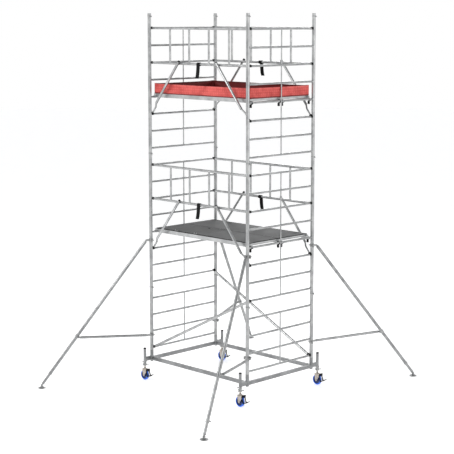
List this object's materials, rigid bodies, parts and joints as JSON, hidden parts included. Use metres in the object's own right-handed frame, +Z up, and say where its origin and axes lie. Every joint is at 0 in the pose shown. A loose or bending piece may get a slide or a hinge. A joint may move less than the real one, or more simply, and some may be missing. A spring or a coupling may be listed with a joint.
{
  "type": "mobile tower scaffold",
  "caption": "Free-standing mobile scaffold: stacked ladder frames on braked castors, hatch platforms, guardrails, fabric toe boards, diagonal braces and telescopic outriggers.",
  "frame": {"origin": "on the floor under the middle of the tower", "axes": "+X along the platforms, +Y across the ladder frames towards the back, +Z up"},
  "size_m": [3.53, 4.4952, 5.435],
  "materials": {
    "aluminium": "drawn and lightly oxidised, satin",
    "zinc_steel": "bright zinc plated",
    "yellow_zinc": "pale yellow zinc passivated",
    "blue_wheel": "moulded blue polyamide wheel with elastic tread, satin",
    "black_plastic": "moulded, fine grain",
    "phenolic_board": "film-faced plywood, dark grey, fine anti-slip mesh",
    "red_fabric": "coated woven tarpaulin, red"
  },
  "bodies": {
    "tower": {"base_frames": "aluminium", "base_side_beams": "aluminium", "sleeve_caps": "black_plastic", "adjusting_nuts": "zinc_steel", "frames_lower": "aluminium", "frames_middle": "aluminium", "frames_upper": "aluminium", "frame_lock_clips": "zinc_steel", "guardrails_lower": "aluminium", "guardrails_upper": "aluminium", "rail_claws": "black_plastic", "diagonal_braces": "aluminium", "platforms_lower": "aluminium", "platforms_upper": "aluminium", "platform_locks": "black_plastic", "deck_boards": "phenolic_board", "toe_boards": "red_fabric", "toe_board_clips": "black_plastic"},
    "hatch_lower": {"hatch_lower": "phenolic_board"},
    "hatch_upper": {"hatch_upper": "phenolic_board"},
    "rail_catch_lower_front": {"rail_catch_lower_front": "black_plastic"},
    "rail_catch_lower_back": {"rail_catch_lower_back": "black_plastic"},
    "rail_catch_upper_front": {"rail_catch_upper_front": "black_plastic"},
    "rail_catch_upper_back": {"rail_catch_upper_back": "black_plastic"},
    "castor_front_left_spindle": {"castor_front_left_spindle": "yellow_zinc"},
    "castor_front_left_fork": {"castor_front_left_fork": "yellow_zinc"},
    "castor_front_left_wheel": {"castor_front_left_wheel": "blue_wheel"},
    "castor_front_left_pedal": {"castor_front_left_pedal": "black_plastic"},
    "outrigger_front_left_clamps": {"outrigger_front_left_clamps": "zinc_steel"},
    "outrigger_front_left_tube": {"outrigger_front_left_tube": "aluminium"},
    "outrigger_front_left_strut": {"outrigger_front_left_strut": "aluminium"},
    "outrigger_front_left_leg": {"outrigger_front_left_leg": "aluminium"},
    "outrigger_front_left_foot": {"outrigger_front_left_foot": "zinc_steel"},
    "castor_front_right_spindle": {"castor_front_right_spindle": "yellow_zinc"},
    "castor_front_right_fork": {"castor_front_right_fork": "yellow_zinc"},
    "castor_front_right_wheel": {"castor_front_right_wheel": "blue_wheel"},
    "castor_front_right_pedal": {"castor_front_right_pedal": "black_plastic"},
    "outrigger_front_right_clamps": {"outrigger_front_right_clamps": "zinc_steel"},
    "outrigger_front_right_tube": {"outrigger_front_right_tube": "aluminium"},
    "outrigger_front_right_strut": {"outrigger_front_right_strut": "aluminium"},
    "outrigger_front_right_leg": {"outrigger_front_right_leg": "aluminium"},
    "outrigger_front_right_foot": {"outrigger_front_right_foot": "zinc_steel"},
    "castor_back_right_spindle": {"castor_back_right_spindle": "yellow_zinc"},
    "castor_back_right_fork": {"castor_back_right_fork": "yellow_zinc"},
    "castor_back_right_wheel": {"castor_back_right_wheel": "blue_wheel"},
    "castor_back_right_pedal": {"castor_back_right_pedal": "black_plastic"},
    "outrigger_back_right_clamps": {"outrigger_back_right_clamps": "zinc_steel"},
    "outrigger_back_right_tube": {"outrigger_back_right_tube": "aluminium"},
    "outrigger_back_right_strut": {"outrigger_back_right_strut": "aluminium"},
    "outrigger_back_right_leg": {"outrigger_back_right_leg": "aluminium"},
    "outrigger_back_right_foot": {"outrigger_back_right_foot": "zinc_steel"},
    "castor_back_left_spindle": {"castor_back_left_spindle": "yellow_zinc"},
    "castor_back_left_fork": {"castor_back_left_fork": "yellow_zinc"},
    "castor_back_left_wheel": {"castor_back_left_wheel": "blue_wheel"},
    "castor_back_left_pedal": {"castor_back_left_pedal": "black_plastic"},
    "outrigger_back_left_clamps": {"outrigger_back_left_clamps": "zinc_steel"},
    "outrigger_back_left_tube": {"outrigger_back_left_tube": "aluminium"},
    "outrigger_back_left_strut": {"outrigger_back_left_strut": "aluminium"},
    "outrigger_back_left_leg": {"outrigger_back_left_leg": "aluminium"},
    "outrigger_back_left_foot": {"outrigger_back_left_foot": "zinc_steel"}
  },
  "joints": [
    {"name": "hatch_lower_hinge", "type": "hinge", "parent": "tower", "child": "hatch_lower", "pos_m": [-0.365, -0.55, 2.284], "axis": [1, 0, 0], "range_deg": [0, 88]},
    {"name": "hatch_upper_hinge", "type": "hinge", "parent": "tower", "child": "hatch_upper", "pos_m": [-0.365, -0.55, 4.284], "axis": [1, 0, 0], "range_deg": [0, 88]},
    {"name": "rail_catch_lower_front_turn", "type": "hinge", "parent": "tower", "child": "rail_catch_lower_front", "pos_m": [0, -0.63, 2.72], "axis": [-1, 0, 0], "range_deg": [0, 80]},
    {"name": "rail_catch_lower_back_turn", "type": "hinge", "parent": "tower", "child": "rail_catch_lower_back", "pos_m": [0, 0.63, 2.72], "axis": [1, 0, 0], "range_deg": [0, 80]},
    {"name": "rail_catch_upper_front_turn", "type": "hinge", "parent": "tower", "child": "rail_catch_upper_front", "pos_m": [0, -0.63, 4.72], "axis": [-1, 0, 0], "range_deg": [0, 80]},
    {"name": "rail_catch_upper_back_turn", "type": "hinge", "parent": "tower", "child": "rail_catch_upper_back", "pos_m": [0, 0.63, 4.72], "axis": [1, 0, 0], "range_deg": [0, 80]},
    {"name": "castor_front_left_height", "type": "slide", "parent": "tower", "child": "castor_front_left_spindle", "axis": [0, 0, -1], "range_m": [-0.035, 0.1]},
    {"name": "castor_front_left_swivel", "type": "hinge", "parent": "castor_front_left_spindle", "child": "castor_front_left_fork", "pos_m": [-1, -0.81, 0.165], "axis": [0, 0, 1], "continuous": true},
    {"name": "castor_front_left_roll", "type": "hinge", "parent": "castor_front_left_fork", "child": "castor_front_left_wheel", "pos_m": [-1, -0.81, 0.075], "axis": [0, 1, 0], "continuous": true},
    {"name": "castor_front_left_brake", "type": "hinge", "parent": "castor_front_left_fork", "child": "castor_front_left_pedal", "pos_m": [-0.938, -0.81, 0.15], "axis": [0, 1, 0], "range_deg": [-18, 0]},
    {"name": "outrigger_front_left_swing", "type": "hinge", "parent": "tower", "child": "outrigger_front_left_clamps", "pos_m": [-1, -0.67, 2.1], "axis": [0, 0, 1], "range_deg": [-25, 25]},
    {"name": "outrigger_front_left_lift", "type": "hinge", "parent": "outrigger_front_left_clamps", "child": "outrigger_front_left_tube", "pos_m": [-1.02958, -0.73344, 2.1], "axis": [0.9063, -0.4226, 0], "range_deg": [-35, 0]},
    {"name": "outrigger_front_left_strut_fold", "type": "hinge", "parent": "outrigger_front_left_tube", "child": "outrigger_front_left_strut", "pos_m": [-1.43372, -1.70895, 0.72109], "axis": [0.9063, -0.4226, 0], "range_deg": [0, 54]},
    {"name": "outrigger_front_left_extend", "type": "slide", "parent": "outrigger_front_left_tube", "child": "outrigger_front_left_leg", "axis": [-0.2606, -0.5589, -0.7872], "range_m": [-0.1, 0.3]},
    {"name": "outrigger_front_left_foot_tilt", "type": "hinge", "parent": "outrigger_front_left_leg", "child": "outrigger_front_left_foot", "pos_m": [-1.71, -2.1926, 0.045], "axis": [0.9063, -0.4226, 0], "range_deg": [-20, 20]},
    {"name": "castor_front_right_height", "type": "slide", "parent": "tower", "child": "castor_front_right_spindle", "axis": [0, 0, -1], "range_m": [-0.035, 0.1]},
    {"name": "castor_front_right_swivel", "type": "hinge", "parent": "castor_front_right_spindle", "child": "castor_front_right_fork", "pos_m": [1, -0.81, 0.165], "axis": [0, 0, 1], "continuous": true},
    {"name": "castor_front_right_roll", "type": "hinge", "parent": "castor_front_right_fork", "child": "castor_front_right_wheel", "pos_m": [1, -0.81, 0.075], "axis": [0, 1, 0], "continuous": true},
    {"name": "castor_front_right_brake", "type": "hinge", "parent": "castor_front_right_fork", "child": "castor_front_right_pedal", "pos_m": [1.062, -0.81, 0.15], "axis": [0, 1, 0], "range_deg": [-18, 0]},
    {"name": "outrigger_front_right_swing", "type": "hinge", "parent": "tower", "child": "outrigger_front_right_clamps", "pos_m": [1, -0.67, 2.1], "axis": [0, 0, 1], "range_deg": [-25, 25]},
    {"name": "outrigger_front_right_lift", "type": "hinge", "parent": "outrigger_front_right_clamps", "child": "outrigger_front_right_tube", "pos_m": [1.02958, -0.73344, 2.1], "axis": [0.9063, 0.4226, 0], "range_deg": [-35, 0]},
    {"name": "outrigger_front_right_strut_fold", "type": "hinge", "parent": "outrigger_front_right_tube", "child": "outrigger_front_right_strut", "pos_m": [1.5171, -1.67007, 0.72109], "axis": [0.9063, 0.4226, 0], "range_deg": [0, 54]},
    {"name": "outrigger_front_right_extend", "type": "slide", "parent": "outrigger_front_right_tube", "child": "outrigger_front_right_leg", "axis": [0.2606, -0.5589, -0.7872], "range_m": [-0.1, 0.3]},
    {"name": "outrigger_front_right_foot_tilt", "type": "hinge", "parent": "outrigger_front_right_leg", "child": "outrigger_front_right_foot", "pos_m": [1.71, -2.1926, 0.045], "axis": [0.9063, 0.4226, 0], "range_deg": [-20, 20]},
    {"name": "castor_back_right_height", "type": "slide", "parent": "tower", "child": "castor_back_right_spindle", "axis": [0, 0, -1], "range_m": [-0.035, 0.1]},
    {"name": "castor_back_right_swivel", "type": "hinge", "parent": "castor_back_right_spindle", "child": "castor_back_right_fork", "pos_m": [1, 0.81, 0.165], "axis": [0, 0, 1], "continuous": true},
    {"name": "castor_back_right_roll", "type": "hinge", "parent": "castor_back_right_fork", "child": "castor_back_right_wheel", "pos_m": [1, 0.81, 0.075], "axis": [0, 1, 0], "continuous": true},
    {"name": "castor_back_right_brake", "type": "hinge", "parent": "castor_back_right_fork", "child": "castor_back_right_pedal", "pos_m": [1.062, 0.81, 0.15], "axis": [0, 1, 0], "range_deg": [-18, 0]},
    {"name": "outrigger_back_right_swing", "type": "hinge", "parent": "tower", "child": "outrigger_back_right_clamps", "pos_m": [1, 0.67, 2.1], "axis": [0, 0, 1], "range_deg": [-25, 25]},
    {"name": "outrigger_back_right_lift", "type": "hinge", "parent": "outrigger_back_right_clamps", "child": "outrigger_back_right_tube", "pos_m": [1.02958, 0.73344, 2.1], "axis": [-0.9063, 0.4226, 0], "range_deg": [-35, 0]},
    {"name": "outrigger_back_right_strut_fold", "type": "hinge", "parent": "outrigger_back_right_tube", "child": "outrigger_back_right_strut", "pos_m": [1.43372, 1.70895, 0.72109], "axis": [-0.9063, 0.4226, 0], "range_deg": [0, 54]},
    {"name": "outrigger_back_right_extend", "type": "slide", "parent": "outrigger_back_right_tube", "child": "outrigger_back_right_leg", "axis": [0.2606, 0.5589, -0.7872], "range_m": [-0.1, 0.3]},
    {"name": "outrigger_back_right_foot_tilt", "type": "hinge", "parent": "outrigger_back_right_leg", "child": "outrigger_back_right_foot", "pos_m": [1.71, 2.1926, 0.045], "axis": [-0.9063, 0.4226, 0], "range_deg": [-20, 20]},
    {"name": "castor_back_left_height", "type": "slide", "parent": "tower", "child": "castor_back_left_spindle", "axis": [0, 0, -1], "range_m": [-0.035, 0.1]},
    {"name": "castor_back_left_swivel", "type": "hinge", "parent": "castor_back_left_spindle", "child": "castor_back_left_fork", "pos_m": [-1, 0.81, 0.165], "axis": [0, 0, 1], "continuous": true},
    {"name": "castor_back_left_roll", "type": "hinge", "parent": "castor_back_left_fork", "child": "castor_back_left_wheel", "pos_m": [-1, 0.81, 0.075], "axis": [0, 1, 0], "continuous": true},
    {"name": "castor_back_left_brake", "type": "hinge", "parent": "castor_back_left_fork", "child": "castor_back_left_pedal", "pos_m": [-0.938, 0.81, 0.15], "axis": [0, 1, 0], "range_deg": [-18, 0]},
    {"name": "outrigger_back_left_swing", "type": "hinge", "parent": "tower", "child": "outrigger_back_left_clamps", "pos_m": [-1, 0.67, 2.1], "axis": [0, 0, 1], "range_deg": [-25, 25]},
    {"name": "outrigger_back_left_lift", "type": "hinge", "parent": "outrigger_back_left_clamps", "child": "outrigger_back_left_tube", "pos_m": [-1.02958, 0.73344, 2.1], "axis": [-0.9063, -0.4226, 0], "range_deg": [-35, 0]},
    {"name": "outrigger_back_left_strut_fold", "type": "hinge", "parent": "outrigger_back_left_tube", "child": "outrigger_back_left_strut", "pos_m": [-1.5171, 1.67007, 0.72109], "axis": [-0.9063, -0.4226, 0], "range_deg": [0, 54]},
    {"name": "outrigger_back_left_extend", "type": "slide", "parent": "outrigger_back_left_tube", "child": "outrigger_back_left_leg", "axis": [-0.2606, 0.5589, -0.7872], "range_m": [-0.1, 0.3]},
    {"name": "outrigger_back_left_foot_tilt", "type": "hinge", "parent": "outrigger_back_left_leg", "child": "outrigger_back_left_foot", "pos_m": [-1.71, 2.1926, 0.045], "axis": [-0.9063, -0.4226, 0], "range_deg": [-20, 20]}
  ]
}
